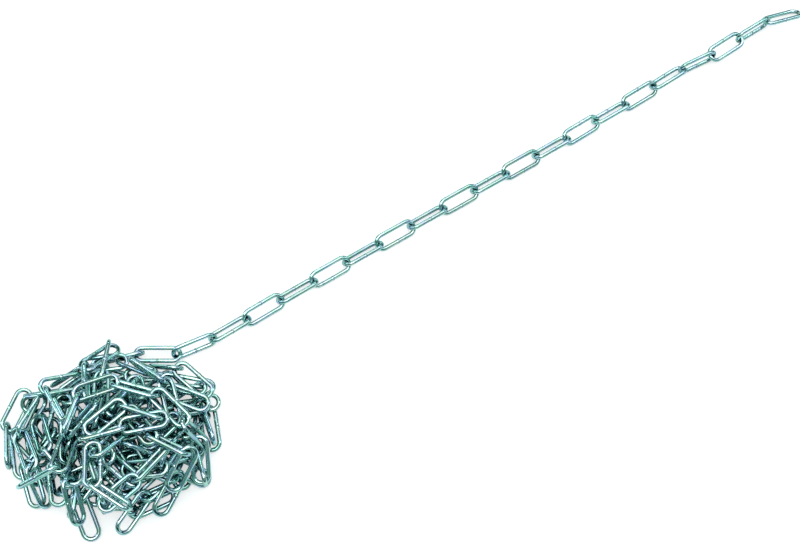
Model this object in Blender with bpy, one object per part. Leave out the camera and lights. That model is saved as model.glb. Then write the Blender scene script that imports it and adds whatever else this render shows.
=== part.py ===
# A heap of zinc-plated steel chain: one length of welded long-link chain, piled on the floor
# with one end drawn out of the heap in a line. Metres, +Z up, the floor is z = 0, and the
# origin is under the middle of the heap.

import math

import bmesh
import bpy
import numpy as np

MM = 0.001

# One link: a round wire bent to a long eye and welded.
WIRE = 3.0 * MM
INNER_LENGTH = 27.0 * MM
OUTER_WIDTH = 13.0 * MM
GAP = 0.3 * MM  # left between two wires that bear on each other

HALF_LENGTH = (INNER_LENGTH + WIRE) / 2  # along the wire's centre line
HALF_WIDTH = (OUTER_WIDTH - WIRE) / 2
PITCH = INNER_LENGTH - GAP
CLEAR = WIRE + GAP  # between two centre lines
WIRE_SIDES = 6
WIRE_CORNER = 1.55 * MM  # from the centre line to the edges of the six-sided wire
FLOOR_CLEAR = 1.6 * MM  # from the floor to a centre line

# Inside the heap, the links that nothing shows of are one low dome, a cap of a ball.
CORE_HEIGHT = 11.0 * MM
CORE_RADIUS = 28.0 * MM
CORE_BALL = (CORE_RADIUS ** 2 + CORE_HEIGHT ** 2) / (2 * CORE_HEIGHT)
CORE_CENTRE = np.array([0.0, 0.0, CORE_HEIGHT - CORE_BALL])
CORE_RINGS = 5
CORE_SIDES = 32

BEAD = 1.1 * MM  # least radius of the bead that joins two links of a strand where they bear
BEAD_BITE = 0.5 * MM  # how far it reaches past each wire's surface

ZINC = (0.52, 0.63, 0.61, 1.0)
SHADED_ZINC = (0.16, 0.24, 0.25, 1.0)
ROUGHNESS = 0.3
SHADED_ROUGHNESS = 0.5

# How the resting places of the links are worked out.
SPIN_AREA = 90.0 * MM ** 2  # a link's turning inertia over its mass
REACH = 5.0 * MM  # wires nearer than this are watched
WATCH_EVERY = 8
SQUARE_EVERY = 10
GAIN = 1.5
BIGGEST_MOVE = 0.8 * MM
BIGGEST_TURN = 0.06
LOWER = 0.35 * MM  # how far a new strand comes down in one step
SETTLE = 0.04 * MM
HOLD = 0.008  # how strongly a link is held over its drawn place
LEAST_PUSH = 0.02 * MM  # added to every push when a link's pushes are averaged
STIR = 0.1  # how much of a new strand's coming down the links below it share
LAY_STEPS = 24
SETTLE_STEPS = 200
PART_STEPS = 1000
PLACES_KEPT = 9  # decimals of a metre
TINY = 1e-12

# A link that lies open turns its face up and to the front; the next one is on edge.
FACE = np.array([0.0, -0.47, 0.88])
UP = np.array([0.0, 0.0, 1.0])

# The run: its route over the floor in millimetres, and each link's lean in degrees from
# lying flat, about the run's own line.
RUN_ROUTE = [
    (8, 57, 15), (32, 60, 6), (57, 71.5, 5), (78, 86, 5), (145, 130, 5), (300, 230, 5), (326, 248, 5),
    (349, 263, 5), (371.5, 279, 5), (395, 295, 5), (417, 306, 5), (438, 322, 5), (459, 336.5, 5),
    (494, 350, 5),
]
RUN_LEANS = [-8, 76, -34] + [45, -37] * 6 + [45, -35, 95, 25, 92, -27]

# The heap's strands in the order they are laid: name, the lean in degrees of the first link
# from lying open, and the places, in millimetres, where one link hangs in the next.
HEAP_STRANDS = [
    ("lead", 90, [(8, 57, 15), (-19, 58, 18), (-10, 36, 7), (-6, 13, 21), (-11, -13, 20), (13, -25, 17)]),
    ("bed_ring", 90, [
        (-26, -5, 5), (-17, -30, 6), (9, -32, 2), (35, -26, 7), (35, 0, 3),
        (29, 26, 6), (3, 21, 13), (-20, 31, 6), (-31, 7, 2),
    ]),
    ("bed_front", 90, [
        (43, 19, 5), (46, -8, 6), (39, -33, 2), (15, -44, 9),
        (-9, -37, 0), (-35, -36, 6), (-42, -11, 2), (-55, 13, 4),
    ]),
    ("bed_back", 0, [(-37, 4, 3), (-46, 29, 5), (-23, 44, 8), (2, 34, 10), (27, 41, 5), (45, 21, 1)]),
    ("bed_over", 0, [
        (-27, 1, 7), (-7, 13, 21), (14, 2, 9), (37, -11, 11),
        (11, -14, 9), (-8, -33, 10), (15, -47, 9), (37, -32, 12),
    ]),
    ("bed_cross", 90, [
        (-21, 24, 21), (3, 12, 19), (13, -12, 16), (-12, -19, 16),
        (-26, 4, 15), (-31, -23, 11), (-10, -39, 17),
    ]),
    ("left_loop", 0, [(-12, 38, 13), (-36, 26, 10), (-62, 28, 6), (-74, 4, 7), (-63, -20, 7)]),
    ("left_inner", 0, [(-56, -25, 1), (-67, -1, 6), (-62, 25, 10), (-36, 24, 14), (-11, 14, 14)]),
    ("bed_left", 30, [(-67, 3, 10), (-46, -14, 9), (-52, 12, 10), (-39, -10, 13), (-52, -33, 8)]),
    ("low_hook", 0, [(-42, -42, 1), (-54, -22, 15), (-33, -6, 20), (-36, 20, 21), (-10, 24, 16)]),
    ("low_left", 60, [(-43, -43, 9), (-51, -22, 23), (-62, 2, 20), (-45, 23, 18)]),
    ("front_back_left", 0, [
        (-32, -45, 5), (-42, -22, 15), (-24, -3, 20),
        (-22, -30, 20), (-24, -56, 17),
    ]),
    ("front_foot", 0, [
        (-16, -65, 0), (-18, -44, 17), (-8, -19, 19),
        (12, -36, 17), (27, -14, 18), (1, -9, 20),
    ]),
    ("front_right", 40, [(8, -60, 12), (24, -39, 15), (33, -14, 11), (56, -24, 0)]),
    ("centre_front", 20, [(18, -56, 17), (37, -38, 19), (16, -24, 26), (-3, -5, 24), (11, 17, 19)]),
    ("right_floor", 90, [(51, -33, 21), (50, -7, 14), (27, -18, 22), (8, -18, 42)]),
    ("right_back", 0, [(63, -6, 2), (58, 20, 3), (36, 7, 10), (21, -9, 25)]),
    ("bed_right", 0, [(39, 23, 7), (40, -2, 17), (35, -27, 25), (8, -28, 24), (-4, -50, 14)]),
    ("back_right", 0, [(63, 24, 8), (36, 25, 11), (10, 28, 14), (-8, 11, 25)]),
    ("right_hook", 90, [(57, -4, 22), (55, 22, 15), (32, 9, 16), (5, 5, 18)]),
    ("back_low", 90, [(-23, 24, 19), (1, 35, 15), (28, 34, 14), (54, 29, 14), (34, 12, 19)]),
    ("back_left", 90, [(-48, 33, 7), (-24, 42, 13), (2, 45, 16), (18, 25, 22)]),
    ("left_mid", 0, [(-56, 7, 26), (-43, -16, 29), (-27, -38, 29), (-5, -23, 27)]),
    ("left_cross", 0, [(-24, 38, 17), (-46, 24, 25), (-31, 2, 27), (-24, -24, 27)]),
    ("back_hook", 90, [(-15, 14, 34), (-25, 38, 25), (-8, 58, 22), (-17, 33, 24), (-4, 10, 28)]),
    ("centre_left", 90, [(-26, 13, 24), (-11, -9, 26), (13, 1, 27), (36, 15, 24), (35, -12, 27)]),
    ("centre_mid", 90, [(-5, 23, 32), (-12, -3, 29), (-2, -26, 37), (18, -44, 34)]),
    ("centre_back", 0, [(-11, 0, 39), (4, 14, 23), (30, 16, 28), (56, 10, 22)]),
    ("back_oval", 90, [(-4, 5, 31), (10, 28, 30), (21, 4, 27), (28, 29, 23), (54, 24, 21)]),
    ("right_side", 90, [(14, 50, 12), (38, 42, 20), (57, 23, 23)]),
    ("back_top", 55, [(2, 39, 27), (25, 28, 34), (33, 3, 35), (16, -17, 32)]),
    ("front_wide", 90, [(-11, -29, 41), (-1, -50, 28), (23, -38, 27), (38, -23, 44)]),
    ("front_strand", 20, [(-21, -10, 30), (-27, -36, 30), (-21, -59, 17)]),
    ("front_main", 90, [(6, -2, 32), (-10, -22, 39), (-11, -49, 39), (14, -55, 31)]),
    ("right_strand", 0, [(1, 1, 34), (22, -14, 37), (46, -26, 32), (32, -48, 26)]),
    ("upper_left", 90, [(-5, 11, 41), (-26, -4, 35), (-31, -30, 37), (-56, -34, 28)]),
    ("upper_main", 90, [
        (-24, -12, 43), (-26, 14, 38), (-1, 23, 40), (25, 17, 42),
        (40, -4, 38), (59, -8, 20), (54, -30, 5),
    ]),
    ("upper_cross", 90, [(-17, -18, 39), (8, -8, 40), (34, -1, 41), (8, 5, 39), (-14, -10, 41)]),
]


# The corners of a link's centre line, in the link's own frame: X along it, Z out of its face.
def link_outline():
    cut = HALF_WIDTH * math.tan(math.radians(22.5))
    shoulder = HALF_LENGTH - HALF_WIDTH + cut
    right = [(shoulder, -HALF_WIDTH), (HALF_LENGTH, -cut), (HALF_LENGTH, cut), (shoulder, HALF_WIDTH)]
    left = [(-x, -y) for x, y in right]
    return np.array([(x, y, 0.0) for x, y in right + left])


OUTLINE = link_outline()
SIDES = len(OUTLINE)


def length_of(vectors):
    return np.sqrt((vectors * vectors).sum(-1))


# A link's frame has its own X, Y and Z axes as columns.
def frame_facing(along, face):
    out = face - along * (face * along).sum()
    out = out / length_of(out)
    return np.stack([along, np.cross(out, along), out], 1)


# The frame turned about its own X axis.
def leaning(frame, degrees):
    sine = math.sin(math.radians(degrees))
    cosine = math.cos(math.radians(degrees))
    side = frame[:, 1] * cosine + frame[:, 2] * sine
    out = frame[:, 2] * cosine - frame[:, 1] * sine
    return np.stack([frame[:, 0], side, out], 1)


# Places and frames of a strand's links, each one pitch long and lying along its drawn line,
# and a quarter turn on from the one before.
def strand_links(hangs, first_lean):
    hangs = np.array(hangs, dtype=float) * MM
    drawn = np.diff(hangs, axis=0)
    along = drawn / length_of(drawn)[:, None]
    centres = []
    frames = []
    hang = hangs[0]
    for number, direction in enumerate(along):
        centres.append(hang + direction * PITCH / 2)
        hang = hang + direction * PITCH
        frames.append(leaning(frame_facing(direction, FACE), first_lean + 90 * number))
    return np.array(centres), np.array(frames)


# Places and frames of the run's links, spaced by the pitch along the run's route.
def run_links():
    route = np.array(RUN_ROUTE, dtype=float) * MM
    travelled = np.concatenate([[0.0], np.cumsum(length_of(np.diff(route, axis=0)))])
    reached = np.arange(len(RUN_LEANS) + 1) * PITCH
    hangs = np.stack([np.interp(reached, travelled, route[:, axis]) for axis in range(3)], 1)
    hangs[-1, 2] = FLOOR_CLEAR
    centres = (hangs[:-1] + hangs[1:]) / 2
    frames = []
    for start, end, lean in zip(hangs[:-1], hangs[1:], RUN_LEANS):
        along = (end - start) / length_of(end - start)
        frames.append(leaning(frame_facing(along, UP), lean))
    return centres, np.array(frames)


# Each frame turned about its spin vector, by the vector's length in radians.
def turned(frames, spins):
    angle = length_of(spins)
    axis = spins / np.maximum(angle, TINY)[:, None]
    sine = np.sin(angle)[:, None]
    rest = 1 - np.cos(angle)[:, None]
    columns = []
    for number in range(3):
        column = frames[:, :, number]
        across = np.cross(axis, column)
        columns.append(column + across * sine + np.cross(axis, across) * rest)
    return np.stack(columns, 2)


def squared(frames):
    along = frames[:, :, 0] / length_of(frames[:, :, 0])[:, None]
    out = frames[:, :, 2] - along * (frames[:, :, 2] * along).sum(-1)[:, None]
    out = out / length_of(out)[:, None]
    return np.stack([along, np.cross(out, along), out], 2)


# Where each link's centre-line corners are, and the side that leaves each corner.
def wire_sides(centres, frames):
    corners = centres[:, None, :] + (frames[:, None, :, :] * OUTLINE[None, :, None, :]).sum(3)
    return corners, np.roll(corners, -1, 1) - corners


# The nearest points of pairs of sides, as points on the first and on the second.
def nearest_points(first, first_side, second, second_side):
    apart = first - second
    a = (first_side * first_side).sum(-1)
    b = (first_side * second_side).sum(-1)
    c = (first_side * apart).sum(-1)
    e = (second_side * second_side).sum(-1)
    f = (second_side * apart).sum(-1)
    spread = np.maximum(a * e - b * b, 1e-6 * a * e)
    share = np.clip((b * f - c * e) / spread, 0, 1)
    other = np.clip((b * share + f) / e, 0, 1)
    share = np.clip((b * other - c) / a, 0, 1)
    return first + first_side * share[:, None], second + second_side * other[:, None]


# The pairs of sides, of two different links, that are nearer than the reach.
def watched_sides(centres, frames):
    between = centres[:, None, :] - centres[None, :, :]
    near = (between * between).sum(-1) < (2 * HALF_LENGTH + REACH) ** 2
    one, two = np.nonzero(np.triu(near, 1))
    side_one, side_two = [grid.ravel() for grid in np.mgrid[0:SIDES, 0:SIDES]]
    pairs = np.stack([
        np.repeat(one, SIDES * SIDES), np.tile(side_one, len(one)),
        np.repeat(two, SIDES * SIDES), np.tile(side_two, len(one)),
    ])
    corners, sides = wire_sides(centres, frames)
    middles = corners + sides / 2
    halves = length_of(sides) / 2
    apart = length_of(middles[pairs[0], pairs[1]] - middles[pairs[2], pairs[3]])
    pairs = pairs[:, apart < halves[pairs[0], pairs[1]] + halves[pairs[2], pairs[3]] + REACH]
    first, second = nearest_of_pairs(corners, sides, pairs)
    return pairs[:, length_of(first - second) < REACH]


def nearest_of_pairs(corners, sides, pairs):
    one = (pairs[0], pairs[1])
    two = (pairs[2], pairs[3])
    return nearest_points(corners[one], sides[one], corners[two], sides[two])


# The pushes on links where a point of theirs is too near something: the link, the point
# measured from its centre, the way to move, and how far.
def core_pushes(centres, corners, sides):
    middle = CORE_CENTRE - corners
    share = np.clip((middle * sides).sum(-1) / (sides * sides).sum(-1), 0, 1)
    points = corners + sides * share[:, :, None]
    out = points - CORE_CENTRE
    depth = CORE_BALL + WIRE / 2 + GAP - length_of(out)
    link, side = np.nonzero(depth > 0)
    way = out[link, side] / length_of(out[link, side])[:, None]
    return link, points[link, side] - centres[link], way, depth[link, side]


def floor_pushes(centres, corners):
    depth = FLOOR_CLEAR - corners[:, :, 2]
    link, corner = np.nonzero(depth > 0)
    way = np.zeros((len(link), 3))
    way[:, 2] = 1.0
    return link, corners[link, corner] - centres[link], way, depth[link, corner]


# One sharing-out of all pushes among the links: each moves and turns by the mean of its own
# pushes, the deepest counting most.
def pushed_apart(centres, frames, watched):
    count = len(centres)
    corners, sides = wire_sides(centres, frames)
    first, second = nearest_of_pairs(corners, sides, watched)
    apart = length_of(first - second)
    touching = apart < CLEAR
    way = (first - second)[touching] / np.maximum(apart[touching], TINY)[:, None]
    depth = CLEAR - apart[touching]
    one = watched[0][touching]
    two = watched[2][touching]
    arm_one = first[touching] - centres[one]
    arm_two = second[touching] - centres[two]
    ease_one = 1 + (np.cross(arm_one, way) ** 2).sum(-1) / SPIN_AREA
    ease_two = 1 + (np.cross(arm_two, way) ** 2).sum(-1) / SPIN_AREA
    shared = depth / (ease_one + ease_two)
    links = [one, two]
    arms = [arm_one, arm_two]
    ways = [way, -way]
    sizes = [shared, shared]
    for link, arm, up, deep in (floor_pushes(centres, corners), core_pushes(centres, corners, sides)):
        links.append(link)
        arms.append(arm)
        ways.append(up)
        sizes.append(deep / (1 + (np.cross(arm, up) ** 2).sum(-1) / SPIN_AREA))
    link = np.concatenate(links)
    way = np.concatenate(ways)
    size = np.concatenate(sizes)
    spin = np.cross(np.concatenate(arms), way) / SPIN_AREA
    weight = size + LEAST_PUSH
    total = np.maximum(np.bincount(link, weight, count), TINY)
    move = np.stack([np.bincount(link, way[:, k] * size * weight, count) / total for k in range(3)], 1)
    turn = np.stack([np.bincount(link, spin[:, k] * size * weight, count) / total for k in range(3)], 1)
    move = limited(move * GAIN, BIGGEST_MOVE)
    turn = limited(turn * GAIN, BIGGEST_TURN)
    return centres + move, turned(frames, turn)


def limited(vectors, biggest):
    size = length_of(vectors)
    return vectors * np.minimum(1.0, biggest / np.maximum(size, TINY))[:, None]


# Steps of: come down, be drawn back over the drawn place, and be pushed apart.
def eased(links, steps, down, hold):
    centres = links["centres"]
    frames = links["frames"]
    for step in range(steps):
        if step % WATCH_EVERY == 0:
            watched = watched_sides(centres, frames)
        back = links["places"] - centres
        back[:, 2] = 0.0
        centres = centres + back * hold
        centres[:, 2] -= down * links["falls"]
        spin = np.cross(frames[:, :, 0], links["aims"]) + np.cross(frames[:, :, 2], links["faces"])
        frames = turned(frames, spin * hold)
        centres, frames = pushed_apart(centres, frames, watched)
        if step % SQUARE_EVERY == SQUARE_EVERY - 1:
            centres = np.round(centres, PLACES_KEPT)
            frames = np.round(squared(frames), PLACES_KEPT)
    links["centres"] = centres
    links["frames"] = squared(frames)


# How far a new strand is lifted so that every wire of it starts above what already lies there.
def lift_over(links, centres, frames):
    old = sampled(links["centres"], links["frames"])
    new = sampled(centres, frames)
    between = old[:, None, :] - new[None, :, :]
    over = (between[:, :, :2] ** 2).sum(-1) < (CLEAR + GAP) ** 2
    return max(0.0, (between[:, :, 2] * over).max() + CLEAR)


def sampled(centres, frames):
    corners, sides = wire_sides(centres, frames)
    return np.concatenate([corners + sides * share for share in (0.0, 0.25, 0.5, 0.75)], 1).reshape(-1, 3)


def joined(links, centres, frames, name, falls):
    added = {
        "centres": centres, "frames": frames, "places": centres.copy(),
        "aims": frames[:, :, 0].copy(), "faces": frames[:, :, 2].copy(),
        "falls": np.full(len(centres), falls), "names": np.array([name] * len(centres)),
    }
    if not links:
        return added
    return {key: np.concatenate([links[key], added[key]]) for key in added}


# The whole chain at rest: the run first, then each strand lowered on what lies there.
def laid_chain():
    centres, frames = run_links()
    links = joined({}, centres, frames, "run", 0.0)
    for name, first_lean, hangs in HEAP_STRANDS:
        centres, frames = strand_links(hangs, first_lean)
        lift = lift_over(links, centres, frames) if name != "lead" else 0.0
        before = len(links["centres"])
        links = joined(links, centres, frames, name, 1.0)
        links["centres"][before:, 2] += lift
        eased(links, LAY_STEPS + int(lift / LOWER), LOWER, HOLD)
        links["falls"][before:] = STIR
    links["falls"][:] = 1.0
    links["falls"][links["names"] == "run"] = 0.0
    eased(links, SETTLE_STEPS, SETTLE, HOLD)
    eased(links, PART_STEPS, 0.0, 0.0)
    return links


def new_object(name, bm, colour, roughness):
    bmesh.ops.recalc_face_normals(bm, faces=bm.faces)
    mesh = bpy.data.meshes.new(name)
    bm.to_mesh(mesh)
    bm.free()
    mesh.materials.append(steel(name, colour, roughness))
    thing = bpy.data.objects.new(name, mesh)
    bpy.context.scene.collection.objects.link(thing)
    return thing


def steel(name, colour, roughness):
    material = bpy.data.materials.new(name)
    material.use_nodes = True
    shader = material.node_tree.nodes["Principled BSDF"]
    shader.inputs["Base Color"].default_value = colour
    shader.inputs["Metallic"].default_value = 1.0
    shader.inputs["Roughness"].default_value = roughness
    return material


# A link's wire, six-sided, mitred at the corners of its outline.
def add_link(bm, centre, frame):
    rings = []
    for number, corner in enumerate(OUTLINE):
        before = corner - OUTLINE[number - 1]
        after = OUTLINE[(number + 1) % SIDES] - corner
        before = before / length_of(before)
        after = after / length_of(after)
        inward = after - before
        inward = inward / length_of(inward)
        stretch = 1 / math.sqrt((1 + (before * after).sum()) / 2)
        ring = []
        for side in range(WIRE_SIDES):
            angle = math.radians(30) + math.tau * side / WIRE_SIDES
            offset = inward * math.cos(angle) * stretch + np.array([0.0, 0.0, math.sin(angle)])
            local = corner + offset * WIRE_CORNER
            ring.append(bm.verts.new(centre + (frame * local).sum(1)))
        rings.append(ring)
    for one, two in zip(rings, rings[1:] + rings[:1]):
        for side in range(WIRE_SIDES):
            other = (side + 1) % WIRE_SIDES
            bm.faces.new((one[side], one[other], two[other], two[side]))


# The point half-way between two linked wires where they are nearest, and their distance.
def bearing(links, one, two):
    pair = slice(one, two + 1)
    corners, sides = wire_sides(links["centres"][pair], links["frames"][pair])
    side_one, side_two = [grid.ravel() for grid in np.mgrid[0:SIDES, 0:SIDES]]
    pairs = np.stack([np.zeros_like(side_one), side_one, np.ones_like(side_two), side_two])
    first, second = nearest_of_pairs(corners, sides, pairs)
    apart = length_of(first - second)
    best = int(np.argmin(np.round(apart, 8)))
    return (first[best] + second[best]) / 2, apart[best]


def make_strand(name, links):
    chosen = [int(number) for number in np.nonzero(links["names"] == name)[0]]
    bm = bmesh.new()
    for number in chosen:
        add_link(bm, links["centres"][number], links["frames"][number])
    strand = new_object("heap_" + name, bm, ZINC, ROUGHNESS)
    if len(chosen) == 1:
        return
    beads = bmesh.new()
    for one, two in zip(chosen, chosen[1:]):
        place, apart = bearing(links, one, two)
        radius = max(BEAD, apart / 2 - WIRE_CORNER + BEAD_BITE)
        made = bmesh.ops.create_icosphere(beads, subdivisions=1, radius=radius)
        bmesh.ops.translate(beads, verts=made["verts"], vec=place)
    tool = new_object("beads_" + name, beads, ZINC, ROUGHNESS)
    tool.hide_render = True
    tool.display_type = "WIRE"
    union = strand.modifiers.new("Joined where they bear", "BOOLEAN")
    union.operation = "UNION"
    union.object = tool


def make_run(links):
    for number, place in enumerate(np.nonzero(links["names"] == "run")[0], start=1):
        bm = bmesh.new()
        add_link(bm, links["centres"][place], links["frames"][place])
        new_object("run_link_%02d" % number, bm, ZINC, ROUGHNESS)


def make_core():
    bm = bmesh.new()
    half_angle = math.asin(CORE_RADIUS / CORE_BALL)
    rings = []
    for number in range(1, CORE_RINGS + 1):
        angle = half_angle * number / CORE_RINGS
        radius = CORE_BALL * math.sin(angle)
        height = max(0.0, CORE_CENTRE[2] + CORE_BALL * math.cos(angle))
        rings.append([
            bm.verts.new((radius * math.cos(turn), radius * math.sin(turn), height))
            for turn in (math.tau * side / CORE_SIDES for side in range(CORE_SIDES))
        ])
    bm.faces.new(rings[0])
    bm.faces.new(rings[-1])
    for one, two in zip(rings, rings[1:]):
        for side in range(CORE_SIDES):
            other = (side + 1) % CORE_SIDES
            bm.faces.new((one[side], one[other], two[other], two[side]))
    new_object("heap_core", bm, SHADED_ZINC, SHADED_ROUGHNESS)


def main():
    for thing in list(bpy.data.objects):
        bpy.data.objects.remove(thing)
    links = laid_chain()
    make_run(links)
    make_core()
    for name, _, _ in HEAP_STRANDS:
        make_strand(name, links)


main()
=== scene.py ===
import math

import bmesh
import bpy
import numpy as np
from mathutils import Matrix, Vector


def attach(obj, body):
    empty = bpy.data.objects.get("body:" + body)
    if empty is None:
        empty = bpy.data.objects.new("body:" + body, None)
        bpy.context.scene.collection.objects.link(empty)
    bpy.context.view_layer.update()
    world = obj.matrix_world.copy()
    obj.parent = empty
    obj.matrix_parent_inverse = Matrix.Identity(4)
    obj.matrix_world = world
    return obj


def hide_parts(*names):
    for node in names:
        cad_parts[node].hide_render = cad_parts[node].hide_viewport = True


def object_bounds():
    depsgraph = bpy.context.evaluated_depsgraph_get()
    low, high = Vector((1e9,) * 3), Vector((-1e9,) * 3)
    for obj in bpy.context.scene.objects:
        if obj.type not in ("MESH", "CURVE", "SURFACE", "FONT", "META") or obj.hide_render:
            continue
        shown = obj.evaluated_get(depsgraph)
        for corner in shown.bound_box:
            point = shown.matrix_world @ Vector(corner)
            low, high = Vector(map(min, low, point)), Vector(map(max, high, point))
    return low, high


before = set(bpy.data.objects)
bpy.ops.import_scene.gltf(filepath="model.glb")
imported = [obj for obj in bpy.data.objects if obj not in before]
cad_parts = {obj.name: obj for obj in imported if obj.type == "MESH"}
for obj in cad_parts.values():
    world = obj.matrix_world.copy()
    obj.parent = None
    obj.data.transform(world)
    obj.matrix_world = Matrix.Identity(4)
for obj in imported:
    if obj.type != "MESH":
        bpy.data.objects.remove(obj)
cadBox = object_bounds()
print("frame loaded,", len(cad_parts), "nodes")

mm = 0.001

chain = {
    "wire": 3.0 * mm,
    "innerLength": 27.0 * mm,
    "outerWidth": 13.0 * mm,
    "gap": 0.3 * mm,  # between two wires that bear on each other
    "floorClear": 1.6 * mm,  # from the floor to a centre line
    "coreHeight": 11.0 * mm,
    "coreRadius": 28.0 * mm,
}
halfLength = (chain["innerLength"] + chain["wire"]) / 2
halfWidth = (chain["outerWidth"] - chain["wire"]) / 2
pitch = chain["innerLength"] - chain["gap"]
clear = chain["wire"] + chain["gap"]
coreBall = (chain["coreRadius"] ** 2 + chain["coreHeight"] ** 2) / (2 * chain["coreHeight"])
coreCentre = np.array([0.0, 0.0, chain["coreHeight"] - coreBall])

laying = {  # how the links come to rest, the same steps as the solids were laid with
    "spinArea": 90.0 * mm ** 2,
    "reach": 5.0 * mm,
    "watchEvery": 8,
    "squareEvery": 10,
    "gain": 1.5,
    "biggestMove": 0.8 * mm,
    "biggestTurn": 0.06,
    "lower": 0.35 * mm,
    "settle": 0.04 * mm,
    "hold": 0.008,
    "leastPush": 0.02 * mm,
    "stir": 0.1,
    "laySteps": 24,
    "settleSteps": 200,
    "partSteps": 1000,
    "placesKept": 9,
}
tiny = 1e-12
openFace = np.array([0.0, -0.47, 0.88])
upward = np.array([0.0, 0.0, 1.0])

# the drawn-out run over the floor, in millimetres, and each link's lean about it in degrees
runRoute = [
    (8, 57, 15), (32, 60, 6), (57, 71.5, 5), (78, 86, 5), (145, 130, 5), (300, 230, 5), (326, 248, 5),
    (349, 263, 5), (371.5, 279, 5), (395, 295, 5), (417, 306, 5), (438, 322, 5), (459, 336.5, 5),
    (494, 350, 5),
]
runLeans = [-8, 76, -34] + [45, -37] * 6 + [45, -35, 95, 25, 92, -27]

# strands of the heap as laid: name, the first link's lean, and where one link hangs in the next
heapStrands = [
    ("lead", 90, [(8, 57, 15), (-19, 58, 18), (-10, 36, 7), (-6, 13, 21), (-11, -13, 20), (13, -25, 17)]),
    ("bed_ring", 90, [
        (-26, -5, 5), (-17, -30, 6), (9, -32, 2), (35, -26, 7), (35, 0, 3),
        (29, 26, 6), (3, 21, 13), (-20, 31, 6), (-31, 7, 2),
    ]),
    ("bed_front", 90, [
        (43, 19, 5), (46, -8, 6), (39, -33, 2), (15, -44, 9),
        (-9, -37, 0), (-35, -36, 6), (-42, -11, 2), (-55, 13, 4),
    ]),
    ("bed_back", 0, [(-37, 4, 3), (-46, 29, 5), (-23, 44, 8), (2, 34, 10), (27, 41, 5), (45, 21, 1)]),
    ("bed_over", 0, [
        (-27, 1, 7), (-7, 13, 21), (14, 2, 9), (37, -11, 11),
        (11, -14, 9), (-8, -33, 10), (15, -47, 9), (37, -32, 12),
    ]),
    ("bed_cross", 90, [
        (-21, 24, 21), (3, 12, 19), (13, -12, 16), (-12, -19, 16),
        (-26, 4, 15), (-31, -23, 11), (-10, -39, 17),
    ]),
    ("left_loop", 0, [(-12, 38, 13), (-36, 26, 10), (-62, 28, 6), (-74, 4, 7), (-63, -20, 7)]),
    ("left_inner", 0, [(-56, -25, 1), (-67, -1, 6), (-62, 25, 10), (-36, 24, 14), (-11, 14, 14)]),
    ("bed_left", 30, [(-67, 3, 10), (-46, -14, 9), (-52, 12, 10), (-39, -10, 13), (-52, -33, 8)]),
    ("low_hook", 0, [(-42, -42, 1), (-54, -22, 15), (-33, -6, 20), (-36, 20, 21), (-10, 24, 16)]),
    ("low_left", 60, [(-43, -43, 9), (-51, -22, 23), (-62, 2, 20), (-45, 23, 18)]),
    ("front_back_left", 0, [
        (-32, -45, 5), (-42, -22, 15), (-24, -3, 20),
        (-22, -30, 20), (-24, -56, 17),
    ]),
    ("front_foot", 0, [
        (-16, -65, 0), (-18, -44, 17), (-8, -19, 19),
        (12, -36, 17), (27, -14, 18), (1, -9, 20),
    ]),
    ("front_right", 40, [(8, -60, 12), (24, -39, 15), (33, -14, 11), (56, -24, 0)]),
    ("centre_front", 20, [(18, -56, 17), (37, -38, 19), (16, -24, 26), (-3, -5, 24), (11, 17, 19)]),
    ("right_floor", 90, [(51, -33, 21), (50, -7, 14), (27, -18, 22), (8, -18, 42)]),
    ("right_back", 0, [(63, -6, 2), (58, 20, 3), (36, 7, 10), (21, -9, 25)]),
    ("bed_right", 0, [(39, 23, 7), (40, -2, 17), (35, -27, 25), (8, -28, 24), (-4, -50, 14)]),
    ("back_right", 0, [(63, 24, 8), (36, 25, 11), (10, 28, 14), (-8, 11, 25)]),
    ("right_hook", 90, [(57, -4, 22), (55, 22, 15), (32, 9, 16), (5, 5, 18)]),
    ("back_low", 90, [(-23, 24, 19), (1, 35, 15), (28, 34, 14), (54, 29, 14), (34, 12, 19)]),
    ("back_left", 90, [(-48, 33, 7), (-24, 42, 13), (2, 45, 16), (18, 25, 22)]),
    ("left_mid", 0, [(-56, 7, 26), (-43, -16, 29), (-27, -38, 29), (-5, -23, 27)]),
    ("left_cross", 0, [(-24, 38, 17), (-46, 24, 25), (-31, 2, 27), (-24, -24, 27)]),
    ("back_hook", 90, [(-15, 14, 34), (-25, 38, 25), (-8, 58, 22), (-17, 33, 24), (-4, 10, 28)]),
    ("centre_left", 90, [(-26, 13, 24), (-11, -9, 26), (13, 1, 27), (36, 15, 24), (35, -12, 27)]),
    ("centre_mid", 90, [(-5, 23, 32), (-12, -3, 29), (-2, -26, 37), (18, -44, 34)]),
    ("centre_back", 0, [(-11, 0, 39), (4, 14, 23), (30, 16, 28), (56, 10, 22)]),
    ("back_oval", 90, [(-4, 5, 31), (10, 28, 30), (21, 4, 27), (28, 29, 23), (54, 24, 21)]),
    ("right_side", 90, [(14, 50, 12), (38, 42, 20), (57, 23, 23)]),
    ("back_top", 55, [(2, 39, 27), (25, 28, 34), (33, 3, 35), (16, -17, 32)]),
    ("front_wide", 90, [(-11, -29, 41), (-1, -50, 28), (23, -38, 27), (38, -23, 44)]),
    ("front_strand", 20, [(-21, -10, 30), (-27, -36, 30), (-21, -59, 17)]),
    ("front_main", 90, [(6, -2, 32), (-10, -22, 39), (-11, -49, 39), (14, -55, 31)]),
    ("right_strand", 0, [(1, 1, 34), (22, -14, 37), (46, -26, 32), (32, -48, 26)]),
    ("upper_left", 90, [(-5, 11, 41), (-26, -4, 35), (-31, -30, 37), (-56, -34, 28)]),
    ("upper_main", 90, [
        (-24, -12, 43), (-26, 14, 38), (-1, 23, 40), (25, 17, 42),
        (40, -4, 38), (59, -8, 20), (54, -30, 5),
    ]),
    ("upper_cross", 90, [(-17, -18, 39), (8, -8, 40), (34, -1, 41), (8, 5, 39), (-14, -10, 41)]),
]


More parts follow.
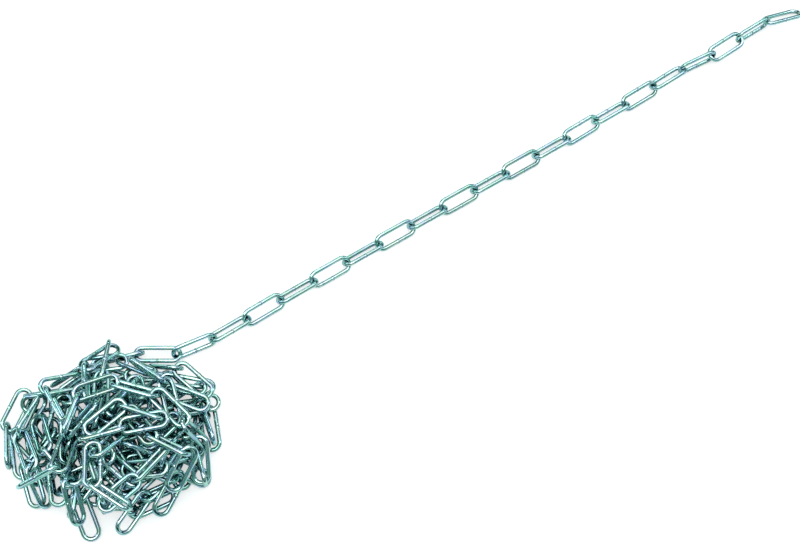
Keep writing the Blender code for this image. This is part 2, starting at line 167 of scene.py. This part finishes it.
def linkOutline():
    cut = halfWidth * math.tan(math.radians(22.5))
    shoulder = halfLength - halfWidth + cut
    right = [(shoulder, -halfWidth), (halfLength, -cut), (halfLength, cut), (shoulder, halfWidth)]
    left = [(-x, -y) for x, y in right]
    return np.array([(x, y, 0.0) for x, y in right + left])


outline = linkOutline()
sideCount = len(outline)


def lengthOf(vectors):
    return np.sqrt((vectors * vectors).sum(-1))


def frameFacing(along, face):  # columns are the link's length, width and face
    out = face - along * (face * along).sum()
    out = out / lengthOf(out)
    return np.stack([along, np.cross(out, along), out], 1)


def leaning(axes, degrees):
    sine = math.sin(math.radians(degrees))
    cosine = math.cos(math.radians(degrees))
    side = axes[:, 1] * cosine + axes[:, 2] * sine
    out = axes[:, 2] * cosine - axes[:, 1] * sine
    return np.stack([axes[:, 0], side, out], 1)


def strandLinks(hangs, firstLean):
    hangs = np.array(hangs, dtype=float) * mm
    drawn = np.diff(hangs, axis=0)
    along = drawn / lengthOf(drawn)[:, None]
    centres = []
    frames = []
    hang = hangs[0]
    for number, direction in enumerate(along):
        centres.append(hang + direction * pitch / 2)
        hang = hang + direction * pitch
        frames.append(leaning(frameFacing(direction, openFace), firstLean + 90 * number))
    return np.array(centres), np.array(frames)


def runLinks():
    route = np.array(runRoute, dtype=float) * mm
    travelled = np.concatenate([[0.0], np.cumsum(lengthOf(np.diff(route, axis=0)))])
    reached = np.arange(len(runLeans) + 1) * pitch
    hangs = np.stack([np.interp(reached, travelled, route[:, axis]) for axis in range(3)], 1)
    hangs[-1, 2] = chain["floorClear"]
    centres = (hangs[:-1] + hangs[1:]) / 2
    frames = []
    for start, end, lean in zip(hangs[:-1], hangs[1:], runLeans):
        along = (end - start) / lengthOf(end - start)
        frames.append(leaning(frameFacing(along, upward), lean))
    return centres, np.array(frames)


def turned(frames, spins):
    angle = lengthOf(spins)
    axis = spins / np.maximum(angle, tiny)[:, None]
    sine = np.sin(angle)[:, None]
    rest = 1 - np.cos(angle)[:, None]
    columns = []
    for number in range(3):
        column = frames[:, :, number]
        across = np.cross(axis, column)
        columns.append(column + across * sine + np.cross(axis, across) * rest)
    return np.stack(columns, 2)


def squared(frames):
    along = frames[:, :, 0] / lengthOf(frames[:, :, 0])[:, None]
    out = frames[:, :, 2] - along * (frames[:, :, 2] * along).sum(-1)[:, None]
    out = out / lengthOf(out)[:, None]
    return np.stack([along, np.cross(out, along), out], 2)


def wireSides(centres, frames):
    corners = centres[:, None, :] + (frames[:, None, :, :] * outline[None, :, None, :]).sum(3)
    return corners, np.roll(corners, -1, 1) - corners


def nearestPoints(first, firstSide, second, secondSide):
    apart = first - second
    a = (firstSide * firstSide).sum(-1)
    b = (firstSide * secondSide).sum(-1)
    c = (firstSide * apart).sum(-1)
    e = (secondSide * secondSide).sum(-1)
    f = (secondSide * apart).sum(-1)
    spread = np.maximum(a * e - b * b, 1e-6 * a * e)
    share = np.clip((b * f - c * e) / spread, 0, 1)
    other = np.clip((b * share + f) / e, 0, 1)
    share = np.clip((b * other - c) / a, 0, 1)
    return first + firstSide * share[:, None], second + secondSide * other[:, None]


def nearestOfPairs(corners, sides, pairs):
    one = (pairs[0], pairs[1])
    two = (pairs[2], pairs[3])
    return nearestPoints(corners[one], sides[one], corners[two], sides[two])


def watchedSides(centres, frames):
    between = centres[:, None, :] - centres[None, :, :]
    near = (between * between).sum(-1) < (2 * halfLength + laying["reach"]) ** 2
    one, two = np.nonzero(np.triu(near, 1))
    sideOne, sideTwo = [grid.ravel() for grid in np.mgrid[0:sideCount, 0:sideCount]]
    pairs = np.stack([
        np.repeat(one, sideCount * sideCount), np.tile(sideOne, len(one)),
        np.repeat(two, sideCount * sideCount), np.tile(sideTwo, len(one)),
    ])
    corners, sides = wireSides(centres, frames)
    middles = corners + sides / 2
    halves = lengthOf(sides) / 2
    apart = lengthOf(middles[pairs[0], pairs[1]] - middles[pairs[2], pairs[3]])
    pairs = pairs[:, apart < halves[pairs[0], pairs[1]] + halves[pairs[2], pairs[3]] + laying["reach"]]
    first, second = nearestOfPairs(corners, sides, pairs)
    return pairs[:, lengthOf(first - second) < laying["reach"]]


def domePushes(centres, corners, sides, inside):  # keeps links out of the heap's core, or in it
    middle = coreCentre - corners
    share = np.clip((middle * sides).sum(-1) / (sides * sides).sum(-1), 0, 1)
    points = corners + sides * share[:, :, None]
    if inside:
        points = corners
        depth = lengthOf(points - coreCentre) - (coreBall - chain["wire"] / 2)
    else:
        depth = coreBall + chain["wire"] / 2 + chain["gap"] - lengthOf(points - coreCentre)
    out = points - coreCentre
    link, side = np.nonzero(depth > 0)
    way = out[link, side] / lengthOf(out[link, side])[:, None]
    return link, points[link, side] - centres[link], -way if inside else way, depth[link, side]


def floorPushes(centres, corners):
    depth = chain["floorClear"] - corners[:, :, 2]
    link, corner = np.nonzero(depth > 0)
    way = np.zeros((len(link), 3))
    way[:, 2] = 1.0
    return link, corners[link, corner] - centres[link], way, depth[link, corner]


def limited(vectors, biggest):
    size = lengthOf(vectors)
    return vectors * np.minimum(1.0, biggest / np.maximum(size, tiny))[:, None]


def pushedApart(centres, frames, watched, inside):
    count = len(centres)
    corners, sides = wireSides(centres, frames)
    first, second = nearestOfPairs(corners, sides, watched)
    apart = lengthOf(first - second)
    touching = apart < clear
    way = (first - second)[touching] / np.maximum(apart[touching], tiny)[:, None]
    depth = clear - apart[touching]
    one = watched[0][touching]
    two = watched[2][touching]
    armOne = first[touching] - centres[one]
    armTwo = second[touching] - centres[two]
    spinArea = laying["spinArea"]
    easeOne = 1 + (np.cross(armOne, way) ** 2).sum(-1) / spinArea
    easeTwo = 1 + (np.cross(armTwo, way) ** 2).sum(-1) / spinArea
    shared = depth / (easeOne + easeTwo)
    links = [one, two]
    arms = [armOne, armTwo]
    ways = [way, -way]
    sizes = [shared, shared]
    for link, arm, up, deep in (floorPushes(centres, corners), domePushes(centres, corners, sides, inside)):
        links.append(link)
        arms.append(arm)
        ways.append(up)
        sizes.append(deep / (1 + (np.cross(arm, up) ** 2).sum(-1) / spinArea))
    link = np.concatenate(links)
    way = np.concatenate(ways)
    size = np.concatenate(sizes)
    spin = np.cross(np.concatenate(arms), way) / spinArea
    weight = size + laying["leastPush"]
    total = np.maximum(np.bincount(link, weight, count), tiny)
    move = np.stack([np.bincount(link, way[:, k] * size * weight, count) / total for k in range(3)], 1)
    turn = np.stack([np.bincount(link, spin[:, k] * size * weight, count) / total for k in range(3)], 1)
    move = limited(move * laying["gain"], laying["biggestMove"])
    turn = limited(turn * laying["gain"], laying["biggestTurn"])
    return centres + move, turned(frames, turn)


def eased(links, steps, down, hold, inside=False):
    centres = links["centres"]
    frames = links["frames"]
    for step in range(steps):
        if step % laying["watchEvery"] == 0:
            watched = watchedSides(centres, frames)
        back = links["places"] - centres
        back[:, 2] = 0.0
        centres = centres + back * hold
        centres[:, 2] -= down * links["falls"]
        spin = np.cross(frames[:, :, 0], links["aims"]) + np.cross(frames[:, :, 2], links["faces"])
        frames = turned(frames, spin * hold)
        centres, frames = pushedApart(centres, frames, watched, inside)
        if step % laying["squareEvery"] == laying["squareEvery"] - 1:
            centres = np.round(centres, laying["placesKept"])
            frames = np.round(squared(frames), laying["placesKept"])
    links["centres"] = centres
    links["frames"] = squared(frames)


def sampled(centres, frames):
    corners, sides = wireSides(centres, frames)
    return np.concatenate([corners + sides * share for share in (0.0, 0.25, 0.5, 0.75)], 1).reshape(-1, 3)


def liftOver(links, centres, frames):
    old = sampled(links["centres"], links["frames"])
    new = sampled(centres, frames)
    between = old[:, None, :] - new[None, :, :]
    over = (between[:, :, :2] ** 2).sum(-1) < (clear + chain["gap"]) ** 2
    return max(0.0, (between[:, :, 2] * over).max() + clear)


def joined(links, centres, frames, name, falls):
    added = {
        "centres": centres, "frames": frames, "places": centres.copy(),
        "aims": frames[:, :, 0].copy(), "faces": frames[:, :, 2].copy(),
        "falls": np.full(len(centres), falls), "names": np.array([name] * len(centres)),
    }
    if not links:
        return added
    return {key: np.concatenate([links[key], added[key]]) for key in added}


def laidChain():
    centres, frames = runLinks()
    links = joined({}, centres, frames, "run", 0.0)
    for name, firstLean, hangs in heapStrands:
        centres, frames = strandLinks(hangs, firstLean)
        lift = liftOver(links, centres, frames) if name != "lead" else 0.0
        before = len(links["centres"])
        links = joined(links, centres, frames, name, 1.0)
        links["centres"][before:, 2] += lift
        eased(links, laying["laySteps"] + int(lift / laying["lower"]), laying["lower"], laying["hold"])
        links["falls"][before:] = laying["stir"]
    links["falls"][:] = 1.0
    links["falls"][links["names"] == "run"] = 0.0
    eased(links, laying["settleSteps"], laying["settle"], laying["hold"])
    eased(links, laying["partSteps"], 0.0, 0.0)
    return links


links = laidChain()
print("chain laid,", len(links["names"]), "links")

# the strand that the heap hides, folded up inside the core's room
hidden = {
    "hangs": [(5, -14, 7), (10, 12, 6), (-15, -2, 6), (-1, -15, 5), (3, 15, 5)],
    "firstLean": 90,
    "easeSteps": 600,
    "raised": 0.35 * mm,  # room for the weld beads over the floor
}


def hiddenStrand():
    centres, frames = strandLinks(hidden["hangs"], hidden["firstLean"])
    strand = joined({}, centres, frames, "hidden", 0.0)
    eased(strand, hidden["easeSteps"], 0.0, 0.0, inside=True)
    strand["centres"][:, 2] += hidden["raised"]
    return strand


hiddenLinks = hiddenStrand()
print("hidden strand folded,", len(hiddenLinks["names"]), "links")

wireForm = {
    "sides": 16,
    "crownRings": 16,  # round each half-circle end
    "legRings": 5,
    "weldReach": 3.0 * mm,  # how far from the weld the rings are close
    "weldRings": 17,
    "weldHeight": 0.17 * mm,
    "weldHalf": 0.42 * mm,
    "weldNeck": 0.05 * mm,
    "bow": 0.07 * mm,  # how far a leg may bow out or in
    "seed": 11,
}
chance = np.random.RandomState(wireForm["seed"])


# places round one link: a point and the way out of it in the link's plane
def linkStations():
    flat = halfLength - halfWidth
    weldSide = np.linspace(-wireForm["weldReach"], wireForm["weldReach"], wireForm["weldRings"])
    weldLeg = [(-x, halfWidth, 90.0) for x in weldSide]
    plainLeg = [(x, -halfWidth, -90.0) for x in np.linspace(-flat, flat, wireForm["legRings"] + 2)[1:-1]]
    steps = np.linspace(90.0, 270.0, wireForm["crownRings"] + 1)
    leftCrown = [(-flat, 0.0, angle) for angle in steps]
    rightCrown = [(flat, 0.0, angle - 180.0) for angle in steps]
    places = []
    for x, y, angle in weldLeg + leftCrown + plainLeg + rightCrown:
        out = np.array([math.cos(math.radians(angle)), math.sin(math.radians(angle)), 0.0])
        centre = np.array([x, y, 0.0])
        if y == 0.0:
            centre = centre + out * halfWidth
        places.append((centre, out))
    return places


stations = linkStations()
ringAngles = np.arange(wireForm["sides"]) * math.tau / wireForm["sides"]


def linkWire(centre, axes, tone):
    bows = chance.uniform(-1.0, 1.0, 2) * wireForm["bow"]
    flip = chance.choice([-1.0, 1.0], 2)
    offset = chance.uniform(0.0, 400.0, 3)
    points = []
    welds = []
    rubAndShadeMarks = []
    places = []
    travelled = 0.0
    for number, (middle, out) in enumerate(stations):
        travelled += lengthOf(middle - stations[number - 1][0]) if number else 0.0
        onWeldLeg = middle[1] > halfWidth * 0.999
        fromWeld = abs(middle[0]) if onWeldLeg else halfLength
        bulge = math.exp(-(fromWeld / wireForm["weldHalf"]) ** 2)
        neck = math.exp(-((fromWeld - 2.6 * wireForm["weldHalf"]) / wireForm["weldHalf"]) ** 2)
        radius = chain["wire"] / 2 + wireForm["weldHeight"] * bulge - wireForm["weldNeck"] * neck
        legShare = max(0.0, 1 - (middle[0] / (halfLength - halfWidth)) ** 2)
        bow = out * bows[0 if middle[1] > 0 else 1] * legShare
        for angle in ringAngles:
            away = out * math.cos(angle) + upward * math.sin(angle)
            local = (middle + bow + away * radius) * np.array([flip[0], flip[1], flip[0] * flip[1]])
            points.append(centre + (axes * local).sum(1))
            welds.append(bulge)
            # the inner side of each crown, where the next link bears, is marked darker: partly rubbed wear,
            # partly painted shade between the interlocked links
            crown = max(0.0, (abs(middle[0]) / halfLength - 0.86) / 0.14)
            rubAndShadeMarks.append(crown * max(0.0, -math.cos(angle)))
            places.append((travelled / mm + offset[0], math.cos(angle) * 1.5 + offset[1],
                           math.sin(angle) * 1.5 + offset[2]))
    return points, welds, rubAndShadeMarks, places, [tone] * len(points)


def wireFaces(first):
    rings = len(stations)
    sides = wireForm["sides"]
    faces = []
    for ring in range(rings):
        after = (ring + 1) % rings
        for side in range(sides):
            other = (side + 1) % sides
            faces.append((first + ring * sides + side, first + after * sides + side,
                          first + after * sides + other, first + ring * sides + other))
    return faces


def outwardFaces(mesh):
    bm = bmesh.new()
    bm.from_mesh(mesh)
    bmesh.ops.recalc_face_normals(bm, faces=bm.faces)
    bm.to_mesh(mesh)
    bm.free()


def chainPiece(name, centres, frames, node, material):
    points, welds, rubAndShadeMarks, places, tones, faces = [], [], [], [], [], []
    for centre, axes in zip(centres, frames):
        faces += wireFaces(len(points))
        made = linkWire(centre, axes, chance.uniform(0.0, 1.0))
        for kept, new in zip((points, welds, rubAndShadeMarks, places, tones), made):
            kept += new
    mesh = bpy.data.meshes.new(name)
    mesh.from_pydata([tuple(point) for point in points], [], faces)
    outwardFaces(mesh)
    mesh.shade_smooth()
    for label, values in (("weld", welds), ("rub", rubAndShadeMarks), ("tone", tones)):
        mesh.attributes.new(label, "FLOAT", "POINT").data.foreach_set("value", values)
    wirePlace = mesh.attributes.new("wirePlace", "FLOAT_VECTOR", "POINT")
    wirePlace.data.foreach_set("vector", np.array(places).ravel())
    mesh.materials.append(material)
    piece = bpy.data.objects.new(name, mesh)
    bpy.context.scene.collection.objects.link(piece)
    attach(piece, "root")
    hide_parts(node)
    return piece


def newMaterial(name):
    material = bpy.data.materials.new(name)
    material.use_nodes = True
    tree = material.node_tree
    return material, tree.nodes, tree.links, tree.nodes["Principled BSDF"]


def attribute(nodes, label):
    node = nodes.new("ShaderNodeAttribute")
    node.attribute_name = label
    return node


def noise(nodes, wires, place, scale, detail, stretch=(1.0, 1.0, 1.0)):
    mapping = nodes.new("ShaderNodeMapping")
    mapping.inputs["Scale"].default_value = stretch
    texture = nodes.new("ShaderNodeTexNoise")
    texture.inputs["Scale"].default_value = scale
    texture.inputs["Detail"].default_value = detail
    wires.new(place, mapping.inputs["Vector"])
    wires.new(mapping.outputs["Vector"], texture.inputs["Vector"])
    return texture.outputs["Fac"]


def ramp(nodes, wires, value, stops):
    node = nodes.new("ShaderNodeValToRGB")
    elements = node.color_ramp.elements
    while len(elements) < len(stops):
        elements.new(0.5)
    for element, (place, colour) in zip(elements, stops):
        element.position = place
        element.color = (*colour, 1.0)
    wires.new(value, node.inputs["Fac"])
    return node.outputs["Color"]


def mixed(nodes, wires, share, one, two, blend="MIX"):
    node = nodes.new("ShaderNodeMix")
    node.data_type = "RGBA"
    node.blend_type = blend
    for value, socket in ((share, node.inputs["Factor"]), (one, node.inputs["A"]), (two, node.inputs["B"])):
        if isinstance(value, (int, float)):
            socket.default_value = value
        elif isinstance(value, tuple):
            socket.default_value = (*value, 1.0)
        else:
            wires.new(value, socket)
    return node.outputs["Result"]


def sums(nodes, wires, operation, one, two, three=0.0):
    node = nodes.new("ShaderNodeMath")
    node.operation = operation
    for value, socket in zip((one, two, three), node.inputs):
        if isinstance(value, (int, float)):
            socket.default_value = value
        else:
            wires.new(value, socket)
    return node.outputs["Value"]


zinc = {
    "pale": (0.66, 0.89, 0.83),
    "middle": (0.44, 0.78, 0.72),
    "deep": (0.25, 0.62, 0.54),
    "violet": (0.50, 0.64, 0.96),
    "violetShare": 0.6,
    "weld": (0.20, 0.27, 0.28),
    # dark colour of the inner crowns: partly rubbed wear, partly painted shade where the links interlock
    "rub": (0.12, 0.20, 0.20),
    "smooth": 0.05,
    "rough": 0.20,
    "drawn": 0.06,
    "grain": 0.025,
    "shadeReach": 11.0 * mm,  # how far off the next wires still shade the plating
    "shadeDeep": (0.008, 0.08, 0.08),
    "shadeHalf": (0.12, 0.38, 0.39),
}


def zincFinish(name, shade):
    material, nodes, wires, shader = newMaterial(name)
    place = attribute(nodes, "wirePlace").outputs["Vector"]
    patches = noise(nodes, wires, place, 0.5, 2.0, (0.16, 1.0, 1.0))
    lines = noise(nodes, wires, place, 2.4, 2.0, (0.06, 1.0, 1.0))
    specks = noise(nodes, wires, place, 5.5, 3.0)
    colour = ramp(nodes, wires, patches, [
        (0.32, zinc["deep"]), (0.5, zinc["middle"]), (0.68, zinc["pale"]),
    ])
    tint = noise(nodes, wires, place, 0.22, 1.0)
    tint = ramp(nodes, wires, tint, [(0.45, (0.0, 0.0, 0.0)), (0.62, (1.0, 1.0, 1.0))])
    tintShare = sums(nodes, wires, "MULTIPLY", tint, zinc["violetShare"])
    colour = mixed(nodes, wires, tintShare, colour, zinc["violet"])
    tone = attribute(nodes, "tone").outputs["Fac"]
    dim = sums(nodes, wires, "MULTIPLY_ADD", tone, 0.22, 0.82 * shade)
    colour = mixed(nodes, wires, 1.0, colour, dim, "MULTIPLY")
    # inner crowns darkened towards the rub colour: partly rubbed wear, partly painted shade between the
    # links
    rub = sums(nodes, wires, "MULTIPLY", attribute(nodes, "rub").outputs["Fac"], 0.75)
    colour = mixed(nodes, wires, rub, colour, zinc["rub"])
    weld = attribute(nodes, "weld").outputs["Fac"]
    weldShare = sums(nodes, wires, "MULTIPLY", weld, sums(nodes, wires, "MULTIPLY_ADD", specks, 0.9, 0.2))
    colour = mixed(nodes, wires, weldShare, colour, zinc["weld"])
    nook = nodes.new("ShaderNodeAmbientOcclusion")
    nook.samples = 4
    nook.inputs["Distance"].default_value = zinc["shadeReach"]
    shading = ramp(nodes, wires, nook.outputs["AO"], [
        (0.12, zinc["shadeDeep"]), (0.33, zinc["shadeHalf"]), (0.55, (1.0, 1.0, 1.0)),
    ])
    colour = mixed(nodes, wires, 1.0, colour, shading, "MULTIPLY")
    wires.new(colour, shader.inputs["Base Color"])
    shader.inputs["Metallic"].default_value = 1.0
    span = zinc["rough"] - zinc["smooth"]
    roughness = sums(nodes, wires, "MULTIPLY_ADD", specks, span, zinc["smooth"])
    roughness = sums(nodes, wires, "MULTIPLY_ADD", weld, 0.2, roughness)
    wires.new(roughness, shader.inputs["Roughness"])
    height = sums(nodes, wires, "MULTIPLY", specks, zinc["grain"])
    height = sums(nodes, wires, "MULTIPLY_ADD", lines, zinc["drawn"], height)
    bump = nodes.new("ShaderNodeBump")
    bump.inputs["Strength"].default_value = 0.6
    bump.inputs["Distance"].default_value = 0.3 * mm
    wires.new(height, bump.inputs["Height"])
    wires.new(bump.outputs["Normal"], shader.inputs["Normal"])
    return material


zincSteel = zincFinish("zincSteel", 1.0)
shadedZinc = zincFinish("shadedZinc", 0.6)

for number, place in enumerate(np.nonzero(links["names"] == "run")[0], start=1):
    chosen = slice(place, place + 1)
    chainPiece("runLink%02d" % number, links["centres"][chosen], links["frames"][chosen],
               "run_link_%02d" % number, zincSteel)
print("run dressed")

for name, _, _ in heapStrands:
    chosen = links["names"] == name
    label = "".join(word.capitalize() for word in name.split("_"))
    chainPiece("heap" + label, links["centres"][chosen], links["frames"][chosen],
               "heap_" + name, zincSteel)
print("heap dressed")

chainPiece("heapInside", hiddenLinks["centres"], hiddenLinks["frames"],
           "heap_core", shadedZinc)
print("inside of the heap dressed")

studio = {
    "floorSide": 12.0,
    "floorGap": 0.08 * mm,  # from the floor to the lowest solid
    "floorColour": (0.54, 0.58, 0.58),
    "floorGlow": 0.60,
    "mirroredFloor": (0.67, 0.79, 0.74),  # what the plating reflects of it
    "ambient": 0.78,
    "background": 1.0,
}


def makeFloor():
    half = studio["floorSide"] / 2
    mesh = bpy.data.meshes.new("floor")
    corners = [(-half, -half, 0), (half, -half, 0), (half, half, 0), (-half, half, 0)]
    mesh.from_pydata(corners, [], [(0, 1, 2, 3)])
    material, nodes, wires, shader = newMaterial("paleFloor")
    shader.inputs["Base Color"].default_value = (*studio["floorColour"], 1.0)
    shader.inputs["Roughness"].default_value = 0.9
    shader.inputs["Specular IOR Level"].default_value = 0.0
    shader.inputs["Emission Color"].default_value = (1.0, 1.0, 1.0, 1.0)
    mirror = nodes.new("ShaderNodeLightPath").outputs["Is Glossy Ray"]
    colour = mixed(nodes, wires, mirror, studio["floorColour"], studio["mirroredFloor"])
    wires.new(colour, shader.inputs["Base Color"])
    wires.new(sums(nodes, wires, "MULTIPLY_ADD", mirror, -0.9 * studio["floorGlow"], studio["floorGlow"]),
              shader.inputs["Emission Strength"])
    mesh.materials.append(material)
    floor = bpy.data.objects.new("floor", mesh)
    floor.location.z = cadBox[0].z - studio["floorGap"]
    bpy.context.scene.collection.objects.link(floor)


def makeWorld():
    world = bpy.data.worlds.new("studio")
    world.use_nodes = True
    bpy.context.scene.world = world
    nodes = world.node_tree.nodes
    wires = world.node_tree.links
    nodes.clear()
    output = nodes.new("ShaderNodeOutputWorld")
    coordinates = nodes.new("ShaderNodeTexCoord")
    split = nodes.new("ShaderNodeSeparateXYZ")
    wires.new(coordinates.outputs["Generated"], split.inputs["Vector"])
    height = sums(nodes, wires, "MULTIPLY_ADD", split.outputs["Z"], 0.5, 0.5)
    around = ramp(nodes, wires, height, [
        (0.0, (0.24, 0.42, 0.39)), (0.46, (0.22, 0.36, 0.33)), (0.54, (0.012, 0.07, 0.065)),
        (0.70, (0.012, 0.07, 0.065)), (0.76, (0.54, 0.61, 0.54)), (0.82, (0.09, 0.20, 0.19)),
        (0.89, (0.12, 0.24, 0.23)), (0.925, (1.92, 1.58, 1.46)),
    ])
    mirrored = nodes.new("ShaderNodeBackground")
    wires.new(around, mirrored.inputs["Color"])
    plain = nodes.new("ShaderNodeBackground")
    plain.inputs["Color"].default_value = (1.0, 1.0, 1.0, 1.0)
    rays = nodes.new("ShaderNodeLightPath")
    strength = sums(nodes, wires, "MULTIPLY_ADD", rays.outputs["Is Camera Ray"],
                    studio["background"] - studio["ambient"], studio["ambient"])
    wires.new(strength, plain.inputs["Strength"])
    both = nodes.new("ShaderNodeMixShader")
    wires.new(rays.outputs["Is Glossy Ray"], both.inputs["Fac"])
    wires.new(plain.outputs["Background"], both.inputs[1])
    wires.new(mirrored.outputs["Background"], both.inputs[2])
    wires.new(both.outputs["Shader"], output.inputs["Surface"])


def softbox(name, place, side, power, colour):
    lamp = bpy.data.lights.new(name, "AREA")
    lamp.shape = "RECTANGLE"
    lamp.size, lamp.size_y = side
    lamp.energy = power
    lamp.color = colour
    light = bpy.data.objects.new(name, lamp)
    light.location = place
    aim = np.array([0.05, 0.0, 0.0]) - np.array(place)
    aim = aim / lengthOf(aim)
    light.rotation_euler = (math.acos(-aim[2]), 0.0, math.atan2(-aim[0], aim[1]))
    bpy.context.scene.collection.objects.link(light)


softboxes = [
    ("overhead", (0.15, -0.45, 1.60), (1.0, 0.8), 6.0, (1.0, 1.0, 1.0)),
    ("leftStrip", (-1.3, 0.3, 1.1), (0.3, 1.2), 5.0, (0.82, 0.86, 1.0)),
    ("rightStrip", (1.4, 0.4, 1.0), (0.3, 1.2), 4.0, (0.86, 0.82, 1.0)),
    ("backStrip", (0.1, 1.5, 1.1), (1.4, 0.25), 3.5, (0.9, 1.0, 1.0)),
]

camera = {
    "place": (0.18293, -0.40505, 0.98794),
    "tilt": 28.2,
    "lens": 72.86,
    "sensor": 36.0,
}


def makeCamera():
    data = bpy.data.cameras.new("camera")
    data.lens = camera["lens"]
    data.sensor_width = camera["sensor"]
    view = bpy.data.objects.new("camera", data)
    view.location = camera["place"]
    view.rotation_euler = (math.radians(camera["tilt"]), 0.0, 0.0)
    bpy.context.scene.collection.objects.link(view)
    bpy.context.scene.camera = view


makeFloor()
makeWorld()
for box in softboxes:
    softbox(*box)
makeCamera()
bpy.context.scene.view_settings.view_transform = "Standard"
print("floor, lights and camera placed")
